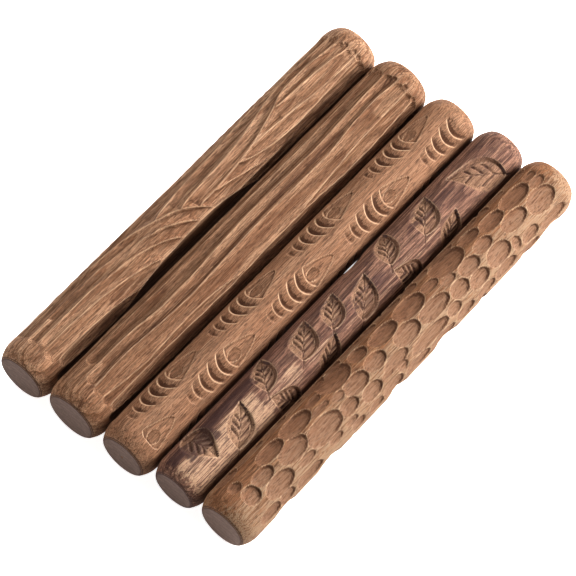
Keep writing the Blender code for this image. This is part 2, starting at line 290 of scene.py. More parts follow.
def hollows_between(ridges, floors, ceilings, starts, place, angle, radius):
    """Depth of the gouged hollows between neighbouring ridges, repeated every half turn.

    Each hollow is deepest towards the side it climbs to, and fades as the gouge lifts at its ends.
    Low on the side the hollows are deeper and drop steeply from the ridge above them.
    """
    here = ridge_angles(ridges, floors, ceilings, place)
    ahead = ridge_angles(ridges, floors, ceilings, place + 1.0)
    names = list(here)
    first = names[0]
    depth = np.zeros_like(place)
    lifted_far = np.clip((place - CARVED_END + FAR_RUN) / FAR_RUN, 0.0, LIFT_LIMIT) ** 2
    for name, below in zip(names, names[1:] + [first]):
        drop = HALF_TURN if below == first else 0.0
        upper, lower = here[name], here[below] - drop
        width = np.maximum(upper - lower, NARROWEST)
        share = ((angle - lower) % HALF_TURN) / width
        breadth = radius * np.radians(width)
        climb = radius * np.radians(ahead[name] + ahead[below] - drop - upper - lower) / 2.0
        low_down = 1.0 - smooth_step(upper, *LOW_HOLLOWS)
        lean = CLIMB_LEAN * np.clip(climb / HOLLOW_FULL_LEAN, -1.0, 1.0)
        deepest = np.clip(0.5 - lean + LOW_LEAN * low_down, *DEEPEST_BETWEEN)
        off = np.where(share < deepest, (deepest - share) / deepest, (share - deepest) / (1.0 - deepest))
        full = np.minimum(HOLLOW_DEPTH, HOLLOW_DEPTH_PER_WIDTH * breadth) + LOW_EXTRA * low_down
        full = np.minimum(full, STEEPEST * breadth)
        hollow = np.where(share < 1.0, (1.0 - np.clip(off, 0.0, 1.0) ** 2) * full, 0.0)
        start = starts.get(name, -CARVED_END)
        lifted_near = np.clip((NEAR_RUN + start - place) / NEAR_RUN, 0.0, LIFT_LIMIT) ** 2
        depth = np.maximum(depth, hollow - GOUGE_LIFT * (lifted_far + lifted_near))
    return depth * (np.abs(place) < CARVED_END)


def carve_waves(place, angle, radius):
    depth = hollows_between(WAVE_RIDGES, WAVE_FLOOR, WAVE_CEILING, WAVE_STARTS, place, angle, radius)
    return np.maximum(depth, gouge_stops(WAVE_STOPS, place, angle, radius))


def carve_flutes(place, angle, radius):
    depth = hollows_between(FLUTE_RIDGES, FLUTE_FLOOR, {}, FLUTE_STARTS, place, angle, radius)
    return np.maximum(depth, gouge_stops(FLUTE_STOPS, place, angle, radius))


def side_flat(place, angle, start, end, centre, half_angle, full):
    """A shallow oval hollow on one side of a stick."""
    along = (2.0 * place - start - end) / (end - start)
    across = turn_to(angle, centre) / half_angle
    return full * np.clip(1.0 - along ** 2 - across ** 2, 0.0, 1.0)


def ripple_places(place, angle, radius):
    """For each row: the distance past its thumb-mark line and the distance to its side."""
    for row in range(RIPPLE_ROWS):
        centre = RIPPLE_FIRST_ANGLE + row * FULL_TURN / RIPPLE_ROWS
        across = radius * np.radians(turn_to(angle, centre))
        bow = across ** 2 / (2.0 * RIPPLE_BOW_RADIUS)
        since = place - bow - RIPPLE_CLUSTER_AT[row % 2]
        yield (since + RIPPLE_BACK) % RIPPLE_PERIOD - RIPPLE_BACK, across


def carve_ripples(place, angle, radius):
    """Rows of crescent steps that grow towards a tear-shaped thumb mark."""
    depth = np.zeros_like(place)
    for past_mark, across in ripple_places(place, angle, radius):
        for before, run, half_width, full in CRESCENTS:
            past = past_mark + before
            edge = np.sqrt(np.clip(1.0 - (across / half_width) ** 2, 0.0, 1.0))
            fall = np.clip(1.0 - past / run, 0.0, 1.0) ** RIPPLE_FALL_OFF
            step = full * edge * fall * smooth_step(past, 0.0, RIPPLE_DROP_RUN)
            depth = np.maximum(depth, step)
        share = np.clip(past_mark / TEAR_LENGTH, 0.0, 1.0)
        half = TEAR_HALF_WIDTH * (1.0 - share) ** TEAR_TAPER
        edge = np.clip(TEAR_WALL * (1.0 - (across / np.maximum(half, NARROWEST)) ** 2), 0.0, 1.0)
        tear = TEAR_DEPTH * edge * (1.0 - TEAR_FADE * share) * smooth_step(past_mark, 0.0, RIPPLE_DROP_RUN)
        along = (past_mark - THUMB_CENTRE) / THUMB_HALF_LENGTH
        oval = np.clip(1.0 - along ** 2 - (across / THUMB_HALF_WIDTH) ** 2, 0.0, 1.0)
        thumb = THUMB_DEPTH * oval ** THUMB_FLATNESS * (THUMB_SLANT[0] + THUMB_SLANT[1] * along)
        depth = np.maximum(depth, np.where(past_mark < TEAR_LENGTH, tear, 0.0) + thumb)
    depth = depth + side_flat(place, angle, *RIPPLE_FLAT)
    return np.where(np.abs(place) < CARVED_END, depth, 0.0)


def leaf_places():
    """Every leaf: the repeat along the stick and again half a turn round it."""
    leaves = [FIRST_LEAF, LAST_LEAF] + list(LEAVES)
    leaves += [(leaf[0] + LEAF_PERIOD,) + leaf[1:] for leaf in LEAVES if leaf is not LEAF_NOT_REPEATED]
    return leaves + [(leaf[0], leaf[1] + HALF_TURN) + leaf[2:] for leaf in leaves]


def leaf_frames(place, angle, radius):
    """For each leaf: place along its midrib, signed side of it, half width there, and its sizes."""
    for middle, centre, length, half_width, tilt in leaf_places():
        along = place - middle
        up = radius * np.radians(turn_to(angle, centre))
        cos, sin = math.cos(math.radians(tilt)), math.sin(math.radians(tilt))
        run = along * cos + up * sin + length / 2
        side = up * cos - along * sin
        share = np.clip(run / length, 0.0, 1.0)
        half = half_width * np.sin(math.pi * share ** LEAF_SHAPE) * (1.0 - LEAF_TIP_PINCH * share ** 3)
        near_side = 1.0 if sin > 0 else -1.0
        yield run, side, half, length, near_side


def groove(distance, half_width):
    """A V-shaped cut, full at its line and nothing at its half width."""
    return np.clip(1.0 - np.abs(distance) / half_width, 0.0, 1.0)


def leaf_lines(run, side, half, length):
    """The midrib, its veins and the stem of one leaf, 0 to 1."""
    reach = np.abs(side) / np.maximum(half, NARROWEST)
    inside = reach < 1.0
    midrib = groove(side, MIDRIB_HALF_WIDTH) * ((run > -STEM_LENGTH) & (run < MIDRIB_REACH * length))
    veins = np.zeros_like(run)
    lean = math.radians(VEIN_LEAN)
    for start in VEIN_STARTS:
        line = (run - start * length) * math.sin(lean) - np.abs(side) * math.cos(lean)
        veins = np.maximum(veins, groove(line, VEIN_HALF_WIDTH))
    veins = veins * inside * (reach < VEIN_REACH) * (np.abs(side) > VEIN_GAP)
    return midrib, veins


def carve_leaves(place, angle, radius):
    """Leaves sunk deeper towards their far side, with midrib, veins and stem cut into them."""
    depth = np.zeros_like(place)
    for run, side, half, length, near_side in leaf_frames(place, angle, radius):
        across = side / np.maximum(half, NARROWEST)
        slant = 0.5 - 0.5 * near_side * across
        wall = np.clip(LEAF_WALL * (1.0 - np.abs(across)), 0.0, 1.0)
        blade = LEAF_DEPTH * wall * (LEAF_NEAR_SHARE + (1.0 - LEAF_NEAR_SHARE) * slant)
        blade = np.where(np.abs(across) < 1.0, blade, 0.0)
        midrib, veins = leaf_lines(run, side, half, length)
        cut = blade + MIDRIB_DEPTH * midrib + VEIN_DEPTH * veins
        depth = np.maximum(depth, cut)
    return np.maximum(depth, side_flat(place, angle, *LEAF_FLAT))


def underside_dimples():
    """Scoops of the rows that face down, drawn from one seeded sequence."""
    draw = np.random.default_rng(DIMPLE_SEED)
    scoops = []
    for row in UNDERSIDE_ROWS:
        start = UNDERSIDE_START + draw.uniform(0.0, DIMPLE_LAND)
        while start < UNDERSIDE_LAST_START:
            end = min(start + draw.uniform(*DIMPLE_LENGTHS), CARVED_END)
            half_angle = draw.uniform(*DIMPLE_HALF_ANGLES)
            middle = row + draw.uniform(-UNDERSIDE_JITTER, UNDERSIDE_JITTER)
            scoops.append((start, end, middle, half_angle))
            start = end + draw.uniform(0.0, DIMPLE_LAND)
    return scoops


def scoop_places(place, angle):
    """For each scoop: the place along and across it, -1 to 1, its length and its half angle."""
    for start, end, centre, half_angle in DIMPLES + tuple(underside_dimples()):
        along = (2.0 * place - start - end) / (end - start)
        yield along, turn_to(angle, centre) / half_angle, end - start, half_angle


def chatter(place, across):
    """Close lines left by a gouge that shook."""
    return np.sin(2.0 * math.pi * (place + CHATTER_BEND * across ** 2) / CHATTER_PITCH)


def carve_dimples(place, angle, radius):
    """Oval scoops, shallow where the gouge enters and steep at the far end."""
    depth = np.zeros_like(place)
    for along, across, length, half_angle in scoop_places(place, angle):
        bowl = np.clip(1.0 - np.abs(along) ** DIMPLE_POWER - np.abs(across) ** DIMPLE_POWER, 0.0, 1.0)
        breadth = min(length, 2.0 * radius * math.radians(half_angle))
        full = DIMPLE_DEPTH * min(1.0, breadth / DIMPLE_FULL_BREADTH)
        slant = 1.0 - DIMPLE_SLANT * (1.0 - along)
        shaken = CHATTER_DEPTH * chatter(place, across) * smooth_step(along, *FAR_WALL) * (bowl > 0.0)
        depth = np.maximum(depth, full * bowl ** DIMPLE_FLATNESS * slant + shaken)
    return depth


# ---------------------------------------------------------------- colour masks on the sticks


def region(place, angle, places, angles, soft_place, soft_angle):
    """A soft-edged patch between two places and two angles."""
    along = smooth_step(place, places[0], places[0] + soft_place)
    along = along * (1.0 - smooth_step(place, places[1] - soft_place, places[1]))
    around = smooth_step(angle, angles[0], angles[0] + soft_angle)
    around = around * (1.0 - smooth_step(angle, angles[1] - soft_angle, angles[1]))
    return along * around


def no_mask(place, angle, radius):
    return np.zeros_like(place)


FLUTE_STREAK = ((-100, 68), (-95, 77), (-80, 83), (-65, 84), (-55, 79), (-40, 78), (-20, 78), (0, 83),
                (20, 87), (60, 88), (91, 88), (100, 88))
# Each dark line beside it: distance from the streak's middle, half width and strength.
FLUTE_LINES = ((0.35, 0.5, 0.9), (-0.75, 0.55, 0.8))
FLUTE_VEIL = (2.4, 0.45)
# The branch near the far end: where it leaves, its slope and its half width.
FLUTE_BRANCH = (85.0, 0.35, 0.4)


def flute_streak_and_valley_shade(place, angle, radius):
    """The double dark growth line that runs the length of the flute roller, which also paints the shade of
    the hollow it runs along.
    """
    off = radius * np.radians(turn_to(angle, line_angle(FLUTE_STREAK, place)))
    lines = sum(strength * groove(off - at, half_width) for at, half_width, strength in FLUTE_LINES)
    veil = FLUTE_VEIL[1] * groove(off, FLUTE_VEIL[0])
    start, slope, half_width = FLUTE_BRANCH
    branch = groove((place - start) * slope - (off - 0.6), half_width)
    branch = branch * region(place, angle, (84.0, 94.0), (85.0, 101.0), 1.0, 3.0)
    return np.clip(np.maximum(lines, veil) + branch, 0.0, 1.0)


# Painted shade past each crescent step: where it darkens and where it fades.
SHADE_STARTS = (0.5, 1.1)
SHADE_FADES = (1.4, 3.0)
SHADE_WIDTH = 0.92
RING_SHADE = 0.5
TIP_SHADE = 0.7


def ripple_painted_shade(place, angle, radius):
    """Painted shade at the foot of each crescent step, round each thumb mark and at the tip of each tear."""
    dark = np.zeros_like(place)
    for past_mark, across in ripple_places(place, angle, radius):
        for before, run, half_width, full in CRESCENTS:
            past = past_mark + before
            edge = np.clip(1.0 - (across / (SHADE_WIDTH * half_width)) ** 2, 0.0, 1.0) ** 0.5
            band = smooth_step(past, *SHADE_STARTS) * (1.0 - smooth_step(past, *SHADE_FADES))
            dark = np.maximum(dark, full * edge * band)
        along = (past_mark - THUMB_CENTRE) / THUMB_HALF_LENGTH
        rim = np.sqrt(along ** 2 + (across / THUMB_HALF_WIDTH) ** 2)
        ring = groove(rim - 0.9, 0.16) * (1.0 - smooth_step(along, 0.1, 0.7))
        dark = np.maximum(dark, RING_SHADE * ring)
        tip = groove(np.hypot(past_mark - TEAR_LENGTH + 0.4, across), 0.9)
        dark = np.maximum(dark, TIP_SHADE * tip)
    return np.where(np.abs(place) < CARVED_END, dark, 0.0)


# Patches of the leaf roller's wood: strength, places, angles, soft edge along and round.
HEARTWOOD = (
    (0.85, (-99.0, -46.0), (99.0, 131.0), 4.0, 7.0), (0.3, (-52.0, 100.0), (108.0, 128.0), 10.0, 6.0),
    (0.6, (36.0, 68.0), (84.0, 106.0), 5.0, 6.0), (0.5, (-40.0, -30.0), (86.0, 112.0), 3.0, 6.0),
    (0.9, (-92.0, -73.0), (74.0, 130.0), 3.0, 12.0), (0.5, (-18.0, 24.0), (48.0, 84.0), 6.0, 10.0),
)
SAPWOOD = (
    (1.0, (-100.0, -50.0), (18.0, 101.0), 6.0, 8.0), (0.6, (-60.0, -28.0), (35.0, 80.0), 8.0, 8.0),
    (0.3, (-40.0, 60.0), (36.0, 70.0), 14.0, 10.0),
)
# How dark the painted shade in the cut midrib and veins is.
MIDRIB_SHADE = 0.6
VEIN_SHADE = 0.75


def patches(table, place, angle):
    """The strongest patch of a table at each point."""
    from_back = angle % FULL_TURN
    return np.max([strength * region(place, from_back, *edges) for strength, *edges in table], axis=0)


def leaf_heartwood_and_vein_shade(place, angle, radius):
    """Dark purple heartwood along the leaf roller, and painted shade in the cut midribs and veins of its
    leaves.
    """
    dark = patches(HEARTWOOD, place, angle)
    for run, side, half, length, _ in leaf_frames(place, angle, radius):
        midrib, veins = leaf_lines(run, side, half, length)
        dark = np.maximum(dark, np.maximum(MIDRIB_SHADE * midrib, VEIN_SHADE * veins))
    return np.clip(dark, 0.0, 1.0)


def leaf_sapwood(place, angle, radius):
    """Pale sapwood showing near one end of the leaf roller."""
    return patches(SAPWOOD, place, angle)


def leaf_fresh_cut_and_light(place, angle, radius):
    """The lighter wood laid bare inside each leaf, laid on fuller over the shallow half and more thinly
    towards the deep side as painted light and shade.
    """
    fresh = np.zeros_like(place)
    for run, side, half, length, near_side in leaf_frames(place, angle, radius):
        across = side / np.maximum(half, NARROWEST)
        inside = np.clip(8.0 * (1.0 - np.abs(across)), 0.0, 1.0) * (np.abs(across) < 1.0)
        # The swing from the shallow to the deep side of the leaf is painted light and shade.
        fresh = np.maximum(fresh, inside * (0.75 + 0.25 * near_side * across))
    return fresh


def dimple_far_wall_shade(place, angle, radius):
    """Painted shade on the steep far wall of each scoop, striped by its chatter lines."""
    dark = np.zeros_like(place)
    for along, across, _, _ in scoop_places(place, angle):
        rim = np.hypot(along, across)
        wall = smooth_step(rim, 0.74, 0.9) * (1.0 - smooth_step(rim, 0.97, 1.04))
        wall = wall * smooth_step(along, 0.0, 0.6)
        dark = np.maximum(dark, wall * (0.75 + 0.25 * chatter(place, across)))
    return dark * (np.abs(place) < CARVED_END)


def dimple_fresh_cut(place, angle, radius):
    return np.clip(carve_dimples(place, angle, radius) / 0.35, 0.0, 1.0)


def dimple_sapwood(place, angle, radius):
    """The paler side of the dimple roller, which turns orange over the crown."""
    turned = turn_to(angle, 20.0)
    return 1.0 - smooth_step(np.abs(turned), 35.0, 95.0) + 0.5 * smooth_step(np.abs(turned), 95.0, 120.0)


# ---------------------------------------------------------------- mesh


def stick_profile(rows):
    """Side view of a plain stick from the middle of one end face to the middle of the other."""
    half = HALF_LENGTH
    end_radius = BLANK_RADIUS - SHOULDER_DROP
    face = [(end_radius - RIM_ROUNDING, half)]
    face += [(end_radius * share, half) for share in np.linspace(0.85, 0.15, END_FACE_STEPS)]
    face += [(PIT_RADIUS, half), (PIT_RADIUS / 2, half), (0.0, half)]
    shoulder = []
    for step in range(SHOULDER_STEPS):
        share = step / SHOULDER_STEPS
        place = half - SHOULDER_LENGTH * (1.0 - share)
        shoulder.append((BLANK_RADIUS - SHOULDER_DROP * share ** 2, place))
    shoulder.append((end_radius, half - RIM_ROUNDING))
    shoulder.append((end_radius - 0.3 * RIM_ROUNDING, half - 0.3 * RIM_ROUNDING))
    straight = half - SHOULDER_LENGTH
    side = [(BLANK_RADIUS, place) for place in np.linspace(-straight, straight, rows + 1)[1:-1]]
    end = shoulder + face
    return [(r, -place) for r, place in reversed(end)] + side + end


def blank_stick(columns, rows):
    """A plain stick along Y, its side view spun once round, made once and copied for each roller."""
    if "blank_stick" in bpy.data.meshes:
        return bpy.data.meshes["blank_stick"]
    bm = bmesh.new()
    verts = [bm.verts.new((r * MM, place * MM, 0.0)) for r, place in stick_profile(rows)]
    edges = [bm.edges.new(pair) for pair in zip(verts, verts[1:])]
    bmesh.ops.spin(bm, geom=verts + edges, cent=(0, 0, 0), axis=(0, -1, 0), angle=2 * math.pi,
                   steps=columns, use_merge=True)
    bmesh.ops.remove_doubles(bm, verts=bm.verts, dist=MERGE_DISTANCE)
    bmesh.ops.recalc_face_normals(bm, faces=bm.faces)
    mesh = bpy.data.meshes.new("blank_stick")
    bm.to_mesh(mesh)
    bm.free()
    return mesh


def size_stick(mesh, radius, pit_depth):
    """Bring a copy of the blank stick to its own radius, and press the lathe centre into its near end."""
    points = mesh_points(mesh)
    out = np.hypot(points[:, 0], points[:, 2]) / MM
    end_radius = BLANK_RADIUS - SHOULDER_DROP
    on_face = out < end_radius - RIM_ROUNDING / 2
    face_scale = (radius - SHOULDER_DROP - RIM_ROUNDING) / (end_radius - RIM_ROUNDING)
    sized = np.where(on_face, out * face_scale, out + radius - BLANK_RADIUS)
    share = sized / np.maximum(out, NARROWEST)
    points[:, 0] *= share
    points[:, 2] *= share
    near_face = on_face & (points[:, 1] < 0.0)
    points[:, 1] += near_face * pit_depth * MM * np.clip(1.0 - out / PIT_RADIUS, 0.0, 1.0)
    mesh.vertices.foreach_set("co", points.ravel())


def mesh_points(mesh):
    points = np.zeros(len(mesh.vertices) * 3)
    mesh.vertices.foreach_get("co", points)
    return points.reshape(-1, 3)


def add_mask(mesh, name, values):
    """A number on every point of the mesh, which the stick's material reads by its name."""
    mask = mesh.attributes.new(name, "FLOAT", "POINT")
    mask.data.foreach_set("value", np.asarray(values, dtype=np.float32))


def crest_mask(pattern, place, angle, radius, depth, reach):
    """Positive on ridges, negative in the bottoms of cuts."""
    turn = math.degrees(reach / radius)
    around = sum(pattern(place + a, angle + b, radius)
                 for a, b in ((reach, 0.0), (-reach, 0.0), (0.0, turn), (0.0, -turn)))
    return around / 4.0 - depth


def carve_stick(mesh, radius, pattern, depth_factor, crest_reach):
    """Cut the pattern into the straight side, and keep its depth and its crests as masks."""
    points = mesh_points(mesh)
    place = points[:, 1] / MM
    angle = np.degrees(np.arctan2(points[:, 2], points[:, 0]))
    out = np.hypot(points[:, 0], points[:, 2]) / MM
    on_side = (np.abs(place) < HALF_LENGTH - SHOULDER_LENGTH) & (out > radius - 0.01)
    depth = pattern(place, angle, radius) * on_side
    crest = crest_mask(pattern, place, angle, radius, depth, crest_reach) * on_side
    share = 1.0 - depth * depth_factor / radius
    points[:, 0] *= share
    points[:, 2] *= share
    mesh.vertices.foreach_set("co", points.ravel())
    add_mask(mesh, "hollow", np.clip(depth / HOLLOW_MASK_DEPTH, 0.0, 1.0))
    add_mask(mesh, "crest", np.clip(crest / CREST_MASK_HEIGHT, -1.0, 1.0))
    return place, angle, on_side


# ---------------------------------------------------------------- shader node groups


COLOUR = "NodeSocketColor"
NUMBER = "NodeSocketFloat"
VECTOR = "NodeSocketVector"

# Colours of the painted shade in cuts and of the painted highlight on crests.
CUT_SHADE = (0.10, 0.045, 0.022)
CREST_HIGHLIGHT = (0.78, 0.58, 0.40)
RING_WANDER = 9.0
RING_DRIFT = 0.022
SPECKLE_SHARE = 0.35
MOTTLE = (0.74, 1.23)
ROUGHNESS = (0.48, 0.66)
PORE_SINK = 1.5
# How far under a stick's axis the middle of the tree lay.
PITH_BELOW = 38.0


def new_group(name, inputs, outputs):
    """An empty shader node group with the named sockets."""
    tree = bpy.data.node_groups.new(name, "ShaderNodeTree")
    for way, sockets in (("INPUT", inputs), ("OUTPUT", outputs)):
        for socket, kind in sockets.items():
            tree.interface.new_socket(socket, in_out=way, socket_type=kind)
    return tree, tree.nodes.new("NodeGroupInput"), tree.nodes.new("NodeGroupOutput")


class Wiring:
    """Short ways to add and join nodes in one tree."""

    def __init__(self, tree):
        self.tree = tree

    def join(self, source, target):
        self.tree.links.new(source, target)

    def feed(self, value, target):
        if isinstance(value, bpy.types.NodeSocket):
            self.join(value, target)
        elif target.type == "RGBA":
            target.default_value = (*value[:3], 1.0)
        else:
            target.default_value = value

    def number(self, operation, *values, clamp=False):
        node = self.tree.nodes.new("ShaderNodeMath")
        node.operation = operation
        node.use_clamp = clamp
        for value, target in zip(values, node.inputs):
            self.feed(value, target)
        return node.outputs[0]

    def plus(self, first, second):
        return self.number("ADD", first, second)

    def times(self, first, second, clamp=False):
        return self.number("MULTIPLY", first, second, clamp=clamp)

    def split(self, vector):
        node = self.tree.nodes.new("ShaderNodeSeparateXYZ")
        self.join(vector, node.inputs[0])
        return node.outputs

    def stretch(self, vector, scale, shift=(0.0, 0.0, 0.0)):
        node = self.tree.nodes.new("ShaderNodeMapping")
        node.inputs["Scale"].default_value = scale
        node.inputs["Location"].default_value = shift
        self.join(vector, node.inputs["Vector"])
        return node.outputs[0]

    def noise(self, vector, stretch, detail=2.0, roughness=0.5, shift=(0.0, 0.0, 0.0)):
        """Noise between 0 and 1, finer along an axis the more the position is stretched on it."""
        node = self.tree.nodes.new("ShaderNodeTexNoise")
        self.join(self.stretch(vector, stretch, shift), node.inputs["Vector"])
        node.inputs["Scale"].default_value = 1.0
        node.inputs["Detail"].default_value = detail
        node.inputs["Roughness"].default_value = roughness
        return node.outputs["Fac"]

    def spread(self, value, low, high, to_low=0.0, to_high=1.0):
        node = self.tree.nodes.new("ShaderNodeMapRange")
        node.interpolation_type = "SMOOTHSTEP"
        for item, target in zip((value, low, high, to_low, to_high), node.inputs):
            self.feed(item, target)
        return node.outputs[0]

    def mix(self, share, first, second, blend="MIX"):
        node = self.tree.nodes.new("ShaderNodeMix")
        node.data_type = "RGBA"
        node.blend_type = blend
        colours = [s for s in node.inputs if s.type == "RGBA"]
        self.feed(share, node.inputs["Factor"])
        self.feed(first, colours[0])
        self.feed(second, colours[1])
        return next(s for s in node.outputs if s.type == "RGBA")

    def mask(self, name):
        node = self.tree.nodes.new("ShaderNodeAttribute")
        node.attribute_name = name
        return node.outputs["Fac"]

    def tint(self, colour, share, strength, target):
        """The colour, carried towards the target where the share is high."""
        return self.mix(self.times(share, strength, clamp=True), colour, target)

    def group(self, name, build, wood, **fed):
        """A shared effect, its other inputs taken from the wood's settings of the same names."""
        node = self.tree.nodes.new("ShaderNodeGroup")
        node.node_tree = bpy.data.node_groups.get(name) or build()
        for socket in node.inputs:
            setting = socket.name.replace(" ", "_").lower()
            self.feed(fed[setting] if setting in fed else getattr(wood, setting), socket)
        return node.outputs


def walnut_figure_group():
    """Growth rings, broad colour bands and fine fibre of walnut running along Y, in millimetres."""
    tree, given, out = new_group(
        "Walnut Figure",
        {"Position": VECTOR, "Pale": COLOUR, "Middle": COLOUR, "Dark": COLOUR, "Ring Lean": NUMBER,
         "Ring Spacing": NUMBER, "Ring Strength": NUMBER, "Band Strength": NUMBER,
         "Fibre Strength": NUMBER},
        {"Color": COLOUR, "Fibre": NUMBER})
    w = Wiring(tree)
    place, pale, middle, dark, lean, spacing, ring_strength, band_strength, fibre_strength, _ = given.outputs
    x, y, z = w.split(place)
    wander = w.times(w.noise(place, (0.11, 0.014, 0.11)), RING_WANDER)
    height = w.plus(w.plus(z, w.times(x, lean)), w.plus(w.times(y, RING_DRIFT), wander))
    year = w.number("FRACT", w.number("DIVIDE", height, spacing))
    ring = w.times(w.spread(year, 0.35, 0.93), w.spread(year, 0.93, 1.0, 1.0, 0.0))
    bands = w.spread(w.noise(place, (0.24, 0.012, 0.24), 3.0, 0.6, (7.0, 3.0, 1.0)), 0.35, 0.66)
    fibre = w.noise(place, (2.7, 0.1, 2.7), 3.0, 0.65)
    speckle = w.noise(place, (3.4, 1.1, 3.4), 2.0, 0.6, (3.0, 9.0, 5.0))
    fine = w.plus(w.times(fibre, 1.0 - SPECKLE_SHARE), w.times(speckle, SPECKLE_SHARE))
    fine = w.spread(fine, 0.33, 0.67)
    colour = w.tint(pale, bands, band_strength, middle)
    colour = w.tint(colour, ring, ring_strength, dark)
    colour = w.tint(colour, fine, fibre_strength, dark)
    lines = w.spread(w.noise(place, (1.1, 0.035, 1.1), 2.0, 0.6, (5.0, 1.0, 3.0)), 0.5, 0.64)
    colour = w.tint(colour, w.times(lines, band_strength, clamp=True), 0.8, dark)
    mottle = w.noise(place, (2.8, 0.1, 2.8), 3.0, 0.7, (2.0, 8.0, 6.0))
    colour = w.mix(1.0, colour, w.spread(mottle, 0.40, 0.60, *MOTTLE), "MULTIPLY")
    w.join(colour, out.inputs["Color"])
    w.join(fine, out.inputs["Fibre"])
    return tree


def open_pores_group():
    """Short dark pores of walnut, drawn out along Y, in millimetres."""
    tree, given, out = new_group(
        "Open Pores", {"Position": VECTOR, "Pores": NUMBER}, {"Mask": NUMBER})
    w = Wiring(tree)
    place, amount, _ = given.outputs
    dashes = w.noise(place, (2.8, 0.3, 2.8), 1.0, 0.5, (1.0, 2.0, 8.0))
    patches = w.noise(place, (0.3, 0.05, 0.3), 1.0)
    level = w.times(w.number("SUBTRACT", patches, 0.5), 0.12)
    pores = w.spread(w.plus(dashes, level), 0.57, 0.64)
    w.join(w.times(pores, amount, clamp=True), out.inputs["Mask"])
    return tree


def painted_shade_and_highlight_group():
    """Painted highlight on the crests, painted shade in the deep cuts and in the bottoms of cuts, and a
    roughness that follows them.
    """
    tree, given, out = new_group(
        "Carved Wear",
        {"Color": COLOUR, "Hollow": NUMBER, "Crest": NUMBER, "Fibre": NUMBER, "Crest Strength": NUMBER,
         "Groove Strength": NUMBER, "Hollow Strength": NUMBER},
        {"Color": COLOUR, "Roughness": NUMBER})
    w = Wiring(tree)
    colour, hollow, crest, fibre, crest_strength, groove_strength, hollow_strength, _ = given.outputs
    # Painted shade in the deep cuts, painted highlight on the crests, then painted shade in the bottoms of
    # cuts.
    colour = w.tint(colour, hollow, hollow_strength, CUT_SHADE)
    colour = w.tint(colour, w.spread(crest, 0.12, 0.9), crest_strength, CREST_HIGHLIGHT)
    bottom = w.spread(w.times(crest, -1.0), 0.1, 0.9)
    colour = w.tint(colour, bottom, groove_strength, CUT_SHADE)
    w.join(colour, out.inputs["Color"])
    w.join(w.plus(w.spread(fibre, 0.0, 1.0, *ROUGHNESS), w.times(hollow, 0.12)), out.inputs["Roughness"])
    return tree


def wood_position(w, centre):
    """The wood's own coordinates in millimetres, centred on the stick's axis."""
    place = w.tree.nodes.new("ShaderNodeTexCoord")
    return w.stretch(place.outputs["Object"], (1.0 / MM,) * 3, [-c / MM for c in centre])


def bare_material(name):
    material = bpy.data.materials.new(name)
    material.use_nodes = True
    shader = material.node_tree.nodes["Principled BSDF"]
    shader.inputs["Specular IOR Level"].default_value = 0.25
    return material, Wiring(material.node_tree), shader


def bump(w, shader, height, distance, strength):
    node = w.tree.nodes.new("ShaderNodeBump")
    node.inputs["Distance"].default_value = distance
    node.inputs["Strength"].default_value = strength
    w.join(height, node.inputs["Height"])
    w.join(node.outputs[0], shader.inputs["Normal"])


def carved_walnut(name, centre, wood):
    """Oiled walnut of one stick's side, with its streaks, sapwood and freshly cut parts, and the painted
    shade and painted highlight that its masks carry.
    """
    material, w, shader = bare_material(name)
    place = wood_position(w, centre)
    colour, fine = w.group("Walnut Figure", walnut_figure_group, wood, position=place)
    ragged = w.noise(place, (1.0, 0.05, 1.0), 3.0, 0.65, (2.0, 5.0, 4.0))
    ragged = w.times(w.spread(ragged, 0.32, 0.68, -0.45, 0.45), 0.8)

    def masked(mask, strength, target, start, end):
        edge = w.spread(w.plus(w.mask(mask), ragged), start, end)
        share = w.times(edge, w.spread(w.mask(mask), 0.0, 0.15))
        return w.mix(w.times(share, strength), colour, target)

    sap = w.mix(w.spread(fine, 0.45, 1.0, 0.0, 0.75), wood.sapwood, wood.middle)
    hairs = w.noise(place, (1.9, 0.03, 1.9), 2.0, 0.6, (6.0, 2.0, 9.0))
    sap = w.mix(w.spread(hairs, 0.52, 0.62, 0.0, 0.7), sap, wood.dark)
    colour = masked("sapwood", 0.95, sap, 0.25, 0.75)
    fresh = w.mix(w.times(fine, 0.55), wood.fresh_cut, wood.dark)
    colour = w.mix(w.times(w.mask("fresh_cut"), wood.fresh_strength), colour, fresh)
    # This mask carries dark grain and also painted shade: in the ripple steps, the leaf veins and the
    # scoops' far walls.
    streak = w.mix(w.spread(fine, 0.2, 0.9, 0.0, 0.5), wood.streak, wood.dark)
    colour = masked("dark_grain", wood.streak_strength, streak, 0.2, 0.8)
    pores = w.group("Open Pores", open_pores_group, wood, position=place)[0]
    colour = w.mix(pores, colour, wood.streak)
    colour, rough = w.group("Carved Wear", painted_shade_and_highlight_group, wood, color=colour, fibre=fine,
                            hollow=w.mask("hollow"), crest=w.mask("crest"))
    w.join(colour, shader.inputs["Base Color"])
    w.join(rough, shader.inputs["Roughness"])
    height = w.number("SUBTRACT", fine, w.times(pores, PORE_SINK))
    bump(w, shader, height, 0.2 * MM, 0.7)
    return material


